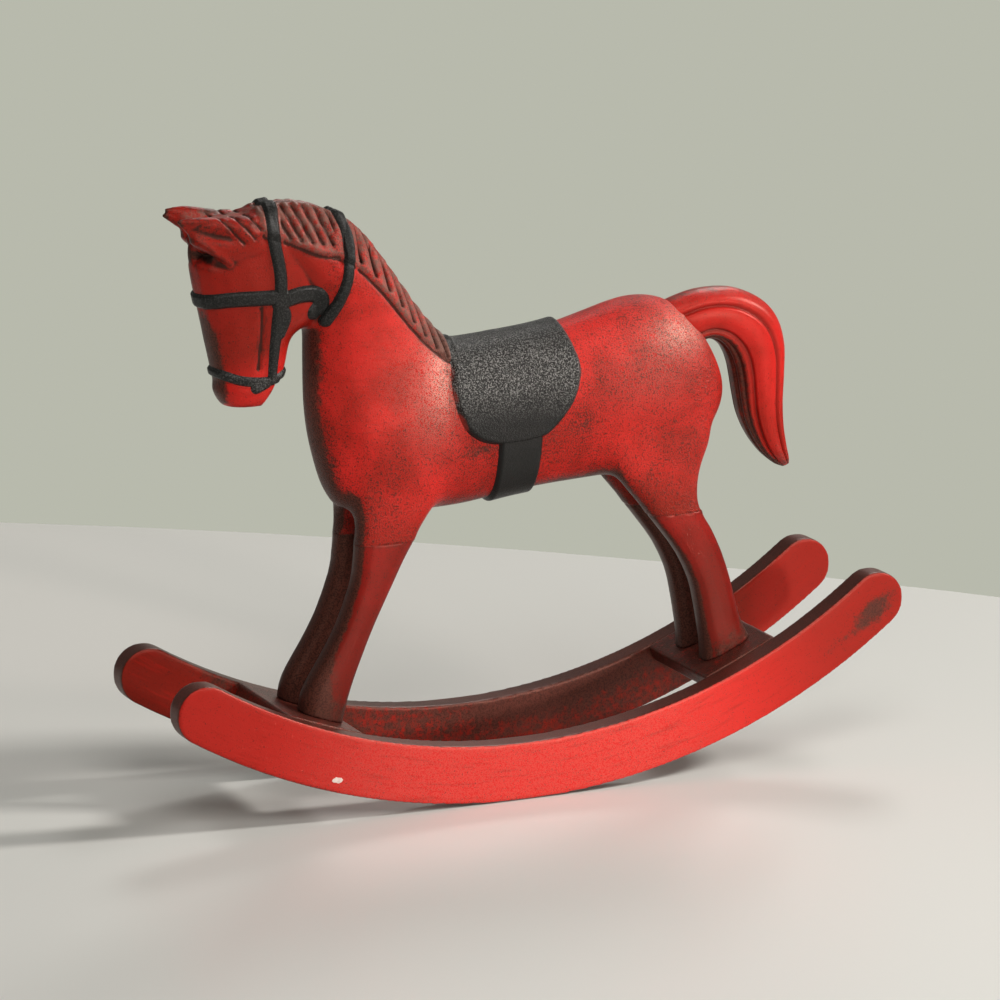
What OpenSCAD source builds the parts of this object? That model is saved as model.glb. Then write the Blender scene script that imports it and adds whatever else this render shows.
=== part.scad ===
// Small carved rocking horse: a painted wooden ornament standing on two curved boards.
// The horse faces -X, its left side is -Y and +Z is up. The origin lies on the line where
// both rockers touch the table, halfway between them. All sizes are in millimetres.

/* [Rockers] */
// Radius of the curve that rolls on the table
rocker_radius = 155; // [130:1:190]
// Height of the rocker board, from its rolling edge to its top edge
rocker_height = 13.5; // [11:0.5:17]
// Thickness of the rocker board
rocker_board = 6; // [4.5:0.5:8]
// Clear gap between the two rockers, which is the length of the slats
rocker_gap = 31; // [28:1:40]
// Angle from the table contact to the middle of the round front end
front_reach = 31.4; // [27:0.1:36]
// Angle from the table contact to the middle of the round rear end
rear_reach = 37.7; // [34:0.1:42]

/* [Slats] */
// Width of a cross slat, measured along the rockers
slat_width = 19.5; // [16:0.5:24]
// Thickness of a cross slat
slat_board = 4; // [3:0.5:6]
// Diameter of the blind pins between slat and rocker
slat_pin = 2; // [1.5:0.1:2.5]
// Depth of a blind pin hole in the rocker
slat_pin_depth = 3.5; // [2.5:0.5:4]

/* [Horse] */
// Length of the carved block, from chest to rump
body_length = 103; // [85:1:124]
// Height of the horse, from the front slat to the poll
horse_height = 118; // [100:1:142]
// Greatest width of the carved block
body_width = 22; // [19:1:27]
// How far the horse is set back along the rockers so that it stands level; minus is forward
balance_shift = -0.5; // [-4:0.1:4]

/* [Legs] */
// Thickness of the leg boards
leg_board = 7; // [5.5:0.5:8]
// Gap between the left and the right leg
leg_gap = 5.6; // [4:0.2:7]
// Diameter of the leg dowels
leg_dowel = 3; // [2:0.1:3.8]
// Length of a leg dowel
leg_dowel_length = 13; // [9:1:15]
// Shank diameter of the foot screws
screw_shank = 2; // [1.6:0.1:2.6]
// Head diameter of the foot screws
screw_head = 4; // [3.4:0.1:4.6]
// Length of a foot screw
screw_length = 11; // [9:0.5:13]

/* [Tail] */
// Width of the tail
tail_width = 11.4; // [10:0.2:15]
// Diameter of the tail dowel
tail_dowel_size = 4; // [3:0.2:5]
// Length of the tail dowel
tail_dowel_length = 14; // [10:1:18]

/* [Harness] */
// How far the saddle and the girth stand out of the body
saddle_raise = 1.3; // [0.8:0.1:2]
// How far the bridle straps stand out of the head
strap_raise = 0.8; // [0.5:0.1:1.2]
// Width of a bridle strap
strap_width = 3; // [2:0.1:4]
// Length of the saddle flap along the horse
saddle_length = 31; // [26:1:34]
// Width of the girth
girth_width = 10; // [7:0.5:12]

/* [Fits] */
// Radial clearance round a glued dowel, pin or screw
glue_clearance = 0.05; // [0.02:0.01:0.1]

/* [Hidden] */
$fn = 48;
LEFT = -1;
RIGHT = 1;
RED = "firebrick";
DARK_RED = "darkred";
BLACK = [0.13, 0.13, 0.14];
BEECH = "burlywood";
STEEL = "silver";
FAR = 300;

// The horse is drawn at this size, and the set sizes stretch the drawing.
DRAWN_LENGTH = 103;
DRAWN_HEIGHT = 118;
DRAWN_WIDTH = 22;
DRAWN_TAIL_WIDTH = 12;
DRAWN_FLOOR = 21;
// Height of the leg joints on the drawing
DRAWN_JOINT = 59.5;
FRONT_FOOT_X = -43.5;
REAR_FOOT_X = 58.5;
// How far the middle of the front slat lies ahead of the front feet
FRONT_SLAT_LEAD = 2.4;

top_radius = rocker_radius - rocker_height;
slat_depth = sqrt(pow(top_radius, 2) - pow(slat_width / 2, 2));

function sx(x) = x * body_length / DRAWN_LENGTH + balance_shift;
function sy(y) = y * body_width / DRAWN_WIDTH;
front_slat_angle = asin((sx(FRONT_FOOT_X) - FRONT_SLAT_LEAD) / top_radius);
rear_slat_angle = asin(sx(REAR_FOOT_X) / top_radius);
floor_z = rocker_radius - slat_depth * cos(front_slat_angle);
function sz(z) = floor_z + (z - DRAWN_FLOOR) * horse_height / DRAWN_HEIGHT;
joint_z = sz(DRAWN_JOINT);

// ---- Carved shapes -------------------------------------------------------------------
// A carved shape is a row of sections. Each one runs from a low or front point (x, z) to a
// high or rear point (x, z) in the middle plane, with a half width and a middle y.
TRUNK = [
    [-38, 78, -38, 96, 7.2], [-34, 71, -34, 100, 9.8], [-28, 66.8, -28, 101, 10.8],
    [-18, 64.9, -18, 102, 11], [-6, 65.2, -6, 103.2, 10.4], [5, 66.8, 5, 104, 9.9],
    [16, 67.8, 16, 105.4, 9.8], [27, 68.4, 27, 108.4, 10], [36, 69, 36, 110.6, 10.3],
    [44, 70, 44, 109.8, 10.3], [50, 72.5, 50, 106, 9.7], [54.5, 76, 54.5, 100.5, 8.5],
    [57.5, 80, 57.5, 95, 6.4], [59.2, 84.5, 59.2, 90.5, 3.7]
];
NECK = [
    [-53, 138.3, -46, 138, 2], [-57, 136.8, -41.5, 136.6, 4.8], [-60, 134.2, -37, 133.9, 6.2],
    [-59, 129.6, -31.6, 129.6, 7.1], [-54, 125, -27, 125, 7.8], [-48, 120, -23.2, 120, 8.3],
    [-44.8, 115, -19.4, 115, 8.6], [-44.4, 110, -15.8, 110, 9], [-44.4, 105, -11.8, 105, 9.4],
    [-44.5, 100, -5, 100, 9.8], [-44.5, 95, 0, 95, 10.2], [-44.3, 90, 3, 90, 10.5],
    [-43.5, 84, 4, 84, 10.8], [-42, 78, 0, 78, 10.8], [-40, 72, -6, 72, 10.3],
    [-37, 67, -12, 67, 8.4]
];
HEAD = [
    [-66, 135.8, -52, 136.8, 4.3], [-69.6, 133, -47, 134, 6.4], [-71.6, 129.5, -44.5, 129.5, 7.2],
    [-71.4, 125.6, -42, 125.6, 7.6], [-70.6, 120.6, -40, 120.6, 7.8], [-69.7, 116.5, -39.5, 116, 7.7],
    [-68.8, 112.5, -42, 111.4, 7.4], [-68.2, 109, -47.4, 108.6, 7],
    [-67.4, 105.5, -48.6, 105, 6.5], [-66.6, 101.5, -49.4, 101, 6.1], [-65.7, 97.6, -51, 97.2, 5.7],
    [-64.4, 94.4, -53, 94.2, 5.2], [-62.6, 92.8, -55.4, 92.8, 4.3]
];
EAR = [[-57, 136.6, -59, 128, 3], [-62, 136.2, -64, 129.6, 2.8], [-68, 136.8, -69, 131, 2.2],
    [-72.6, 137, -73, 133.6, 1.3], [-75.9, 136.6, -76, 136, 0.3]];
EAR_Y = 4.7;
// Middle, size and tilt of the hollow in the outer face of an ear
EAR_HOLLOW = [-70.5, 1.9, 133.8];
EAR_HOLLOW_SIZE = [4.6, 1.5, 1.9];
EAR_HOLLOW_TILT = -27;
FRONT_LEG = [
    [-37, 84, -13, 84, -0.9], [-36.4, 77, -11, 77, -0.3], [-35.6, 70, -13, 70, 0.1],
    [-35, 65, -17, 65, 0.2], [-34.8, 60, -20.4, 60, 0.1], [-35.2, 55, -23.4, 55, 0],
    [-36, 50, -26, 50, 0], [-39.4, 41, -30.6, 41, 0], [-43.4, 34, -33.6, 34, 0],
    [-46.6, 29, -35.6, 29, 0.1], [-48.4, 25, -37, 25, 0.2], [-48.9, 20, -38.4, 20, 0.2],
    [-49, 10, -41, 10, 0.2]
];
REAR_LEG = [
    [28, 84, 55.6, 84, -0.7], [27, 77, 55, 77, -0.1], [28.5, 71.5, 52.6, 71.5, 0.2],
    [33, 66, 51.2, 66.4, 0.3], [38.2, 60, 51.5, 60.4, 0.2], [42.2, 55, 54.4, 55.4, 0.1],
    [46.2, 49.5, 57.2, 49.5, 0], [49.4, 43, 59.4, 43, 0], [50.8, 37.5, 60.9, 37.5, 0],
    [51.8, 32, 62.6, 32, 0.1], [52.5, 27.5, 64.5, 28.5, 0.3], [52.8, 22, 65.6, 24, 0.3],
    [53, 12, 66, 13, 0.3]
];
TAIL = [
    [49, 96.8, 43.5, 106.3, 4.3], [54, 99.6, 47.5, 109, 5.2], [57, 100.2, 54.5, 110.6, 5.6],
    [60, 98.8, 62.8, 110.3, 5.8], [62.4, 96, 69.8, 107.3, 5.9], [64, 93, 74, 102.8, 6],
    [65, 89.6, 75.9, 96.8, 6], [65.7, 85.8, 76, 90, 5.8], [66.6, 81, 75.6, 83, 5.3],
    [68.3, 76, 75.8, 77, 4.5], [70.9, 71.4, 76.6, 72, 3.2], [73.9, 68, 77.2, 68.6, 1.5],
    [75.6, 66.7, 77.2, 67, 0.6]
];
BODY_POWER = 2.2;
HEAD_POWER = 2.5;
LEG_POWER = 3;

// Curve through b and c that leaves b and reaches c in the direction of its neighbours
function glide(a, b, c, d, t) =
    0.5 * (2 * b + (c - a) * t + (2 * a - 5 * b + 4 * c - d) * t * t
    + (3 * b - a - 3 * c + d) * t * t * t);

function row_at(rows, i) = rows[max(0, min(len(rows) - 1, i))];

// Section as middle point, half height vector and half width, grown outward on all sides
function section(row, grow) = let(
        low = [sx(row[0]), 0, sz(row[1])],
        high = [sx(row[2]), 0, sz(row[3])],
        half = (high - low) / 2
    ) [(low + high) / 2, half * (1 + grow / norm(half)), row[4] + grow];

function signed_pow(v, e) = sign(v) * pow(abs(v), e);

// Flutes are grooves along the solid: every so many corners one lies in by a share of the width
CORNERS_PER_FLUTE = 3;
function ring(mid, half, wide, power, sides, flutes) = [
    for (k = [0:sides - 1]) let(a = 360 * k / sides, out = k % CORNERS_PER_FLUTE == 0 ? 1 - flutes : 1)
        mid + out * (half * signed_pow(cos(a), 2 / power) + [0, wide * signed_pow(sin(a), 2 / power), 0])
];

// Middle of section i, pushed away from section j when the shape is grown
function end_middle(s, i, j, grow) = s[i][0] + grow * (s[i][0] - s[j][0]) / norm(s[i][0] - s[j][0]);

// Solid through all the sections; y_shift moves it sideways and widths are final
module carved(rows, power = BODY_POWER, y_shift = 0, grow = 0, sides = 20, steps = 2, flutes = 0) {
    inner = [for (r = rows) section(r, grow)];
    n_end = len(inner) - 1;
    s = [for (i = [0:n_end]) (i > 0 && i < n_end) ? inner[i]
        : [end_middle(inner, i, i == 0 ? 1 : n_end - 1, grow), inner[i][1], inner[i][2]]];
    last = n_end * steps;
    rings = [for (n = [0:last]) let(
            i = min(floor(n / steps), n_end - 1),
            t = n / steps - i,
            q = [for (c = [0:2]) glide(row_at(s, i - 1)[c], s[i][c], s[i + 1][c], row_at(s, i + 2)[c], t)]
        ) ring(q[0] + [0, y_shift, 0], q[1], q[2], power, sides, flutes)];
    points = [for (r = rings) each r];
    front_cap = [for (k = [sides - 1:-1:0]) k];
    rear_cap = [for (k = [0:sides - 1]) last * sides + k];
    skin = [for (n = [0:last - 1]) for (k = [0:sides - 1]) let(
            a = n * sides + k,
            b = n * sides + (k + 1) % sides
        ) each [[a, b, b + sides], [a, b + sides, a + sides]]];
    polyhedron(points, concat([front_cap], [rear_cap], skin), convexity = 6);
}

function widened(rows) = [for (r = rows) [r[0], r[1], r[2], r[3], sy(r[4])]];
function leg_rows(rows) = [for (r = rows) [r[0], r[1], r[2], r[3], leg_board / 2 + r[4]]];

// ---- Places --------------------------------------------------------------------------
// Puts children on top of a slat: z = 0 is its top face, x runs along the rockers
module on_slat(angle) {
    translate([0, 0, rocker_radius]) rotate([0, -angle, 0]) translate([0, 0, -slat_depth]) children();
}

leg_y = (leg_gap + leg_board) / 2;
FRONT_DOWEL_X = -27.6;
FRONT_LEAN = 16;
REAR_DOWEL_X = 45.2;
REAR_LEAN = -24;

// Puts children at a leg joint with z along the leg's dowel
module at_joint(x, lean, side) {
    translate([sx(x), side * leg_y, joint_z]) rotate([0, lean, 0]) children();
}

TAIL_DOWEL_X = 51.5;
TAIL_DOWEL_Z = 104.5;
TAIL_DOWEL_TILT = 62;

// Puts children at the tail's seat on the rump, with z pointing out along the dowel
module at_tail() {
    translate([sx(TAIL_DOWEL_X), 0, sz(TAIL_DOWEL_Z)]) rotate([0, TAIL_DOWEL_TILT, 0]) children();
}

module pin(d, length) { translate([0, 0, -length / 2]) cylinder(d = d, h = length); }

module leg_dowel_pair(x, lean, clearance = 0) {
    for (side = [LEFT, RIGHT]) at_joint(x, lean, side)
        pin(leg_dowel + 2 * clearance, leg_dowel_length + 2 * clearance);
}

module tail_pin(clearance = 0) {
    at_tail() pin(tail_dowel_size + 2 * clearance, tail_dowel_length + 2 * clearance);
}

// ---- The carved block ----------------------------------------------------------------
module trunk_shape(grow = 0) { carved(widened(TRUNK), grow = grow); }
module neck_shape(grow = 0) { carved(widened(NECK), grow = grow); }
module head_shape(grow = 0) { carved(widened(HEAD), HEAD_POWER, grow = grow, sides = 18); }

module ear(side) {
    difference() {
        carved(EAR, BODY_POWER, side * sy(EAR_Y), sides = 12, steps = 1);
        translate([sx(EAR_HOLLOW[0]), side * (sy(EAR_Y) + EAR_HOLLOW[1]), sz(EAR_HOLLOW[2])])
            rotate([0, EAR_HOLLOW_TILT, 0]) scale(EAR_HOLLOW_SIZE) sphere(r = 1, $fn = 14);
    }
}

module leg_shape(rows, side) {
    carved(leg_rows(rows), LEG_POWER, side * leg_y, sides = 16);
}

module above_joint() {
    translate([-FAR / 2, -FAR / 2, joint_z]) cube(FAR);
}

// Slanting mane grooves, cut into both sides of the crest
MANE_GROOVES = 16;
MANE_GROOVE = 0.9;
MANE_DEPTH = 1.1;
MANE_REACH = 8;
MANE_TILT = 31;
// The cutter leans forward at the poll and back at the withers
MANE_SLANT = 28;
MANE_SLANT_END = -14;
MANE_SIDE = 2.2;
MANE_CUTTER = 10;
MANE_START = [-57, 139.6];
MANE_MIDDLE = [-36, 140];
MANE_END = [-9, 103.5];
function mane_point(t) = t * t * MANE_END + 2 * t * (1 - t) * MANE_MIDDLE + (1 - t) * (1 - t) * MANE_START;
module mane_grooves() {
    for (n = [0:MANE_GROOVES - 1], side = [LEFT, RIGHT])
        let(t = (n + 0.5) / MANE_GROOVES, p = mane_point(t))
            translate([sx(p[0]), side * MANE_SIDE, sz(p[1])])
                rotate([0, MANE_SLANT * (1 - t) + MANE_SLANT_END * t, 0]) rotate([side * MANE_TILT, 0, 0])
                    translate([0, side * (MANE_CUTTER / 2 - MANE_DEPTH), -MANE_REACH / 2])
                        cube([MANE_GROOVE, MANE_CUTTER, MANE_REACH], center = true);
}

module whole_horse() {
    trunk_shape();
    neck_shape();
    head_shape();
    for (side = [LEFT, RIGHT]) {
        ear(side);
        intersection() { leg_shape(FRONT_LEG, side); above_joint(); }
        intersection() { leg_shape(REAR_LEG, side); above_joint(); }
    }
}

module horse_body() {
    color(RED) difference() {
        resize([0, 0, 0]) difference() {
            whole_horse();
            mane_grooves();
        }
        leg_dowel_pair(FRONT_DOWEL_X, FRONT_LEAN, glue_clearance);
        leg_dowel_pair(REAR_DOWEL_X, REAR_LEAN, glue_clearance);
        tail_pin(glue_clearance);
    }
}

// ---- Legs ----------------------------------------------------------------------------
module leg(rows, side, slat_angle, dowel_x, lean, foot_x) {
    color(RED) difference() {
        resize([0, 0, 0]) difference() {
            leg_shape(rows, side);
            above_joint();
            on_slat(slat_angle) translate([-FAR / 2, -FAR / 2, -FAR]) cube(FAR);
        }
        leg_dowel_pair(dowel_x, lean, glue_clearance);
        foot_screw(slat_angle, foot_x, side, glue_clearance);
    }
}
module front_left_leg() { leg(FRONT_LEG, LEFT, front_slat_angle, FRONT_DOWEL_X, FRONT_LEAN, FRONT_FOOT_X); }
module front_right_leg() { leg(FRONT_LEG, RIGHT, front_slat_angle, FRONT_DOWEL_X, FRONT_LEAN, FRONT_FOOT_X); }
module rear_left_leg() { leg(REAR_LEG, LEFT, rear_slat_angle, REAR_DOWEL_X, REAR_LEAN, REAR_FOOT_X); }
module rear_right_leg() { leg(REAR_LEG, RIGHT, rear_slat_angle, REAR_DOWEL_X, REAR_LEAN, REAR_FOOT_X); }

module front_leg_dowels() { color(BEECH) leg_dowel_pair(FRONT_DOWEL_X, FRONT_LEAN); }
module rear_leg_dowels() { color(BEECH) leg_dowel_pair(REAR_DOWEL_X, REAR_LEAN); }

// ---- Tail ----------------------------------------------------------------------------
TAIL_FLUTES = 0.1;
TAIL_POWER = 2.4;
module tail() {
    rows = [for (r = TAIL) [r[0], r[1], r[2], r[3], r[4] * tail_width / DRAWN_TAIL_WIDTH]];
    color(RED) difference() {
        resize([0, 0, 0]) difference() {
            carved(rows, TAIL_POWER, sides = 24, flutes = TAIL_FLUTES);
            trunk_shape();
        }
        tail_pin(glue_clearance);
    }
}
module tail_dowel() { color(BEECH) tail_pin(); }

// ---- Saddle and girth ----------------------------------------------------------------
SADDLE_X = 4;
SADDLE_MIDDLE_Z = 96;
SADDLE_BOTTOM_Z = 82.5;
SADDLE_CORNER = 9;
// The outline runs on above the back, and the saddle is a little shorter there
OVER_BACK_Z = 115;
OVER_BACK_CUT = 2;
GIRTH_SHIFT = 0.9;
UNDER_BELLY_Z = 50;
// Side outline of the saddle: straight over the back, round flaps below
module saddle_outline() {
    hull() {
        translate([sx(SADDLE_X), sz(OVER_BACK_Z)])
            square([saddle_length - OVER_BACK_CUT, OVER_BACK_CUT], center = true);
        translate([sx(SADDLE_X), sz(SADDLE_MIDDLE_Z)])
            square([saddle_length, OVER_BACK_CUT], center = true);
        for (dir = [LEFT, RIGHT]) let(x = dir * (saddle_length / 2 - SADDLE_CORNER))
            translate([sx(SADDLE_X) + x, sz(SADDLE_BOTTOM_Z) + SADDLE_CORNER])
                circle(r = SADDLE_CORNER, $fn = 32);
    }
}

module girth_outline() {
    translate([sx(SADDLE_X) + GIRTH_SHIFT - girth_width / 2, sz(UNDER_BELLY_Z)])
        square([girth_width, sz(SADDLE_BOTTOM_Z) - sz(UNDER_BELLY_Z)]);
}

// Runs an outline drawn on the side of the horse right across it
module across() { rotate([90, 0, 0]) linear_extrude(FAR, center = true) children(); }

module saddle() {
    color(BLACK) resize([0, 0, 0]) difference() {
        intersection() { trunk_shape(saddle_raise); across() saddle_outline(); }
        trunk_shape();
        neck_shape();
    }
}

module girth() {
    color(BLACK) resize([0, 0, 0]) difference() {
        intersection() { trunk_shape(saddle_raise); across() girth_outline(); }
        trunk_shape();
        across() saddle_outline();
    }
}

// ---- Bridle --------------------------------------------------------------------------
// Straps follow lines on the side of the head: [x, z] points on the drawing
CROWN_LINE = [[-52.2, 142.4], [-54, 133.2], [-52.4, 122.3], [-53.4, 111.6], [-54, 100]];
CHEEK_LINE = [[-53, 118.3], [-46, 118.6], [-42, 117.2]];
BROW_LINE = [[-74, 117.2], [-69.3, 117.7], [-63, 118.4], [-53, 118.3]];
NOSE_LINE = [[-70, 101.8], [-65.9, 101.1], [-60.7, 99.5], [-54, 99.1], [-47, 100.4]];
THROAT_LINE = [[-38.3, 139.6], [-35.4, 130.3], [-36.4, 121], [-40.2, 113.4], [-42.2, 110.6]];

module strap_outline(lines) {
    for (line = lines, i = [0:len(line) - 2]) hull() for (p = [line[i], line[i + 1]])
        translate([sx(p[0]), sz(p[1])]) circle(d = strap_width, $fn = 16);
}

// Straps stand on the carved block and keep clear of the straps that cross over them
module straps(lines, crossing = []) {
    color(BLACK) resize([0, 0, 0]) difference() {
        intersection() {
            union() { neck_shape(strap_raise); head_shape(strap_raise); }
            across() difference() {
                strap_outline(lines);
                strap_outline(crossing);
            }
        }
        whole_horse();
    }
}

module headpiece() { straps([CROWN_LINE, CHEEK_LINE]); }
module browband() { straps([BROW_LINE], [CROWN_LINE, CHEEK_LINE]); }
module noseband() { straps([NOSE_LINE], [CROWN_LINE]); }
module throat_latch() { straps([THROAT_LINE], [CHEEK_LINE]); }

// ---- Rockers -------------------------------------------------------------------------
// Side view of the board: a ring between the two reaches, with round ends
module rocker_outline() {
    middle_radius = rocker_radius - rocker_height / 2;
    translate([0, rocker_radius]) {
        intersection() {
            difference() {
                circle(r = rocker_radius, $fn = 360);
                circle(r = top_radius, $fn = 360);
            }
            polygon([
                [0, 0], FAR * [cos(-90 - front_reach), sin(-90 - front_reach)], [0, -FAR],
                FAR * [cos(rear_reach - 90), sin(rear_reach - 90)]
            ]);
        }
        for (a = [-front_reach, rear_reach]) translate(middle_radius * [sin(a), -cos(a)])
            circle(d = rocker_height);
    }
}

module rocker(side) {
    middle_y = side * (rocker_gap + rocker_board) / 2;
    color(RED) difference() {
        translate([0, middle_y + rocker_board / 2, 0]) rotate([90, 0, 0])
            linear_extrude(rocker_board) rocker_outline();
        slat_pins(side, glue_clearance);
    }
}
module left_rocker() { rocker(LEFT); }
module right_rocker() { rocker(RIGHT); }

// ---- Slats ---------------------------------------------------------------------------
PIN_SPACING = 10;
PIN_IN_SLAT = 6;
SCREW_POINT = 1.5;
SCREW_TIP = 0.3;

// Blind pins that join both slats to one rocker
module slat_pins(side, clearance = 0) {
    length = PIN_IN_SLAT + slat_pin_depth;
    middle = side * (rocker_gap / 2 + (slat_pin_depth - PIN_IN_SLAT) / 2);
    for (angle = [front_slat_angle, rear_slat_angle]) on_slat(angle)
        for (x = [-PIN_SPACING / 2, PIN_SPACING / 2]) translate([x, middle, -slat_board / 2])
            rotate([90, 0, 0]) pin(slat_pin + 2 * clearance, length + 2 * clearance);
}
module left_slat_pins() { color(BEECH) slat_pins(LEFT); }
module right_slat_pins() { color(BEECH) slat_pins(RIGHT); }

// Countersunk screw up through the slat into one foot
module foot_screw(angle, foot_x, side, clearance = 0) {
    shank = screw_shank / 2 + clearance;
    head = screw_head / 2 + clearance;
    offset_x = (sx(foot_x) - slat_depth * sin(angle)) / cos(angle);
    on_slat(angle) translate([offset_x, side * leg_y, -slat_board]) rotate_extrude()
        polygon([[0, 0], [head, 0], [shank, head - shank], [shank, screw_length - SCREW_POINT],
            [SCREW_TIP, screw_length + clearance], [0, screw_length + clearance]]);
}
module foot_screw_pair(angle, foot_x, clearance = 0) {
    for (side = [LEFT, RIGHT]) foot_screw(angle, foot_x, side, clearance);
}

module slat(angle, foot_x) {
    color(DARK_RED) difference() {
        on_slat(angle) translate([-slat_width / 2, -rocker_gap / 2, -slat_board])
            cube([slat_width, rocker_gap, slat_board]);
        slat_pins(LEFT, glue_clearance);
        slat_pins(RIGHT, glue_clearance);
        foot_screw_pair(angle, foot_x, glue_clearance);
    }
}
module front_slat() { slat(front_slat_angle, FRONT_FOOT_X); }
module rear_slat() { slat(rear_slat_angle, REAR_FOOT_X); }
module front_foot_screws() { color(STEEL) foot_screw_pair(front_slat_angle, FRONT_FOOT_X); }
module rear_foot_screws() { color(STEEL) foot_screw_pair(rear_slat_angle, REAR_FOOT_X); }

horse_body();
front_left_leg();
front_right_leg();
rear_left_leg();
rear_right_leg();
front_leg_dowels();
rear_leg_dowels();
tail();
tail_dowel();
saddle();
girth();
headpiece();
browband();
noseband();
throat_latch();
left_rocker();
right_rocker();
front_slat();
rear_slat();
front_foot_screws();
rear_foot_screws();
left_slat_pins();
right_slat_pins();
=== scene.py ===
import math

import bpy
import numpy as np
from mathutils import Matrix, Vector


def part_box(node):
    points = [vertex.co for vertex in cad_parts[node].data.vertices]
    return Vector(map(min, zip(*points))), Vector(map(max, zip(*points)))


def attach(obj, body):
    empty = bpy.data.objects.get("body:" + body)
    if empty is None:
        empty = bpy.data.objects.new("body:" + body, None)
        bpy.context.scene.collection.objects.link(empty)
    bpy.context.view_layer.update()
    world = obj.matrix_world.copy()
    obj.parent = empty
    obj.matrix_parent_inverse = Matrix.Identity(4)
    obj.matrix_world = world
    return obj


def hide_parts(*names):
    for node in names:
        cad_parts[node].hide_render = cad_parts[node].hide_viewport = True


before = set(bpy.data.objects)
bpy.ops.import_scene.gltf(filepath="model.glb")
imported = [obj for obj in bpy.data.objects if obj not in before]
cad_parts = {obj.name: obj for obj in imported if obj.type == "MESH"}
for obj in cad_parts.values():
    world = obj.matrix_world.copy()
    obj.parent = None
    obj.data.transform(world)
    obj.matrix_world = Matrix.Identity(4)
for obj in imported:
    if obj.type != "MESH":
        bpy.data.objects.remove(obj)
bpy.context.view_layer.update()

MM = 0.001

# ---- Table, light and camera ----------------------------------------------------------
# The horse stands near the far edge of a pale round table. A lamp high on the right throws its
# shadow to the left, and a low warm beam lights the middle of the horse and the near runner.
CAMERA_PLACE = Vector((-463.1, -1047.9, 332.8)) * MM
CAMERA_BACK = Vector((-0.396, -0.890, 0.227)).normalized()
CAMERA_RIGHT = Vector((0.9135, -0.4069, 0.0)).normalized()
LENS = 184.3
SENSOR_WIDTH = 36.0
NEAREST = 0.05
TABLE_RADIUS = 0.815
TABLE_MIDDLE = (-0.446, -0.4066)
TABLE_CORNERS = 128
TABLE_PALE = (0.70, 0.71, 0.685)
# the wall behind the table is paler than the rest of the room
WALL = (0.48, 0.49, 0.415)
ROOM = (0.13, 0.13, 0.12)
WALL_STARTS, WALL_FULL = 0.86, 0.97
GLOSS = 0.33


def shader(name, base=(0.8, 0.8, 0.8), roughness=0.5):
    """New material and a maker of nodes: node(type, inputs, **properties)."""
    material = bpy.data.materials.new(name)
    material.use_nodes = True
    tree = material.node_tree
    principled = tree.nodes["Principled BSDF"]
    principled.inputs["Base Color"].default_value = (*base, 1.0)
    principled.inputs["Roughness"].default_value = roughness
    principled.inputs["Specular IOR Level"].default_value = GLOSS
    return material, principled, node_maker(tree)


def node_maker(tree):
    """Maker of nodes for a tree; an input is a value or the socket it is wired to."""

    def node(kind, inputs=(), **properties):
        made = tree.nodes.new(kind)
        for key, value in properties.items():
            setattr(made, key, value)
        for key, value in dict(inputs).items():
            if isinstance(value, bpy.types.NodeSocket):
                tree.links.new(value, made.inputs[key])
            else:
                made.inputs[key].default_value = value
        return made

    return node


def mesh_piece(name, points, faces, material, smooth=True):
    """Object at the origin from points in metres and a list or array of faces."""
    mesh = bpy.data.meshes.new(name)
    mesh.from_pydata([tuple(p) for p in points], [], [tuple(int(i) for i in f) for f in faces])
    mesh.polygons.foreach_set("use_smooth", [smooth] * len(mesh.polygons))
    mesh.materials.append(material)
    mesh.update()
    piece = bpy.data.objects.new(name, mesh)
    bpy.context.scene.collection.objects.link(piece)
    return piece


marble, _, _ = shader("pale_table", TABLE_PALE, 0.32)
table_edge = []
for k in range(TABLE_CORNERS):
    a = 2 * math.pi * k / TABLE_CORNERS
    edge_x, edge_y = TABLE_RADIUS * math.cos(a), TABLE_RADIUS * math.sin(a)
    table_edge.append((TABLE_MIDDLE[0] + edge_x, TABLE_MIDDLE[1] + edge_y, 0))
table = mesh_piece("table", table_edge, [range(TABLE_CORNERS)], marble, smooth=False)

world = bpy.data.worlds.new("room")
bpy.context.scene.world = world
world.use_nodes = True
node = node_maker(world.node_tree)
toward = node("ShaderNodeTexCoord").outputs["Generated"]
wall_way = {0: toward, 1: tuple(-CAMERA_BACK)}
facing = node("ShaderNodeVectorMath", wall_way, operation="DOT_PRODUCT").outputs["Value"]
fade_in = {0: facing, 1: WALL_STARTS, 2: WALL_FULL, 3: 0.0, 4: 1.0}
near_wall = node("ShaderNodeMapRange", fade_in, interpolation_type="SMOOTHSTEP").outputs[0]
room = node("ShaderNodeMix", {0: near_wall, 6: (*ROOM, 1.0), 7: (*WALL, 1.0)}, data_type="RGBA").outputs[2]
world.node_tree.links.new(room, world.node_tree.nodes["Background"].inputs["Color"])
world.node_tree.nodes["Background"].inputs["Strength"].default_value = 1.0


def lamp(name, place, target, power, size, color, cone=None):
    """Square lamp of a size in metres, or a soft round beam when cone gives its angle in degrees."""
    data = bpy.data.lights.new(name, "SPOT" if cone else "AREA")
    data.energy = power
    data.color = color
    if cone:
        data.shadow_soft_size = size / 2
        data.spot_size = math.radians(cone)
        data.spot_blend = 1.0
    else:
        data.size = size
    made = bpy.data.objects.new(name, data)
    made.location = place
    made.rotation_euler = (Vector(target) - Vector(place)).to_track_quat("-Z", "Y").to_euler()
    bpy.context.scene.collection.objects.link(made)
    return made


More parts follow.
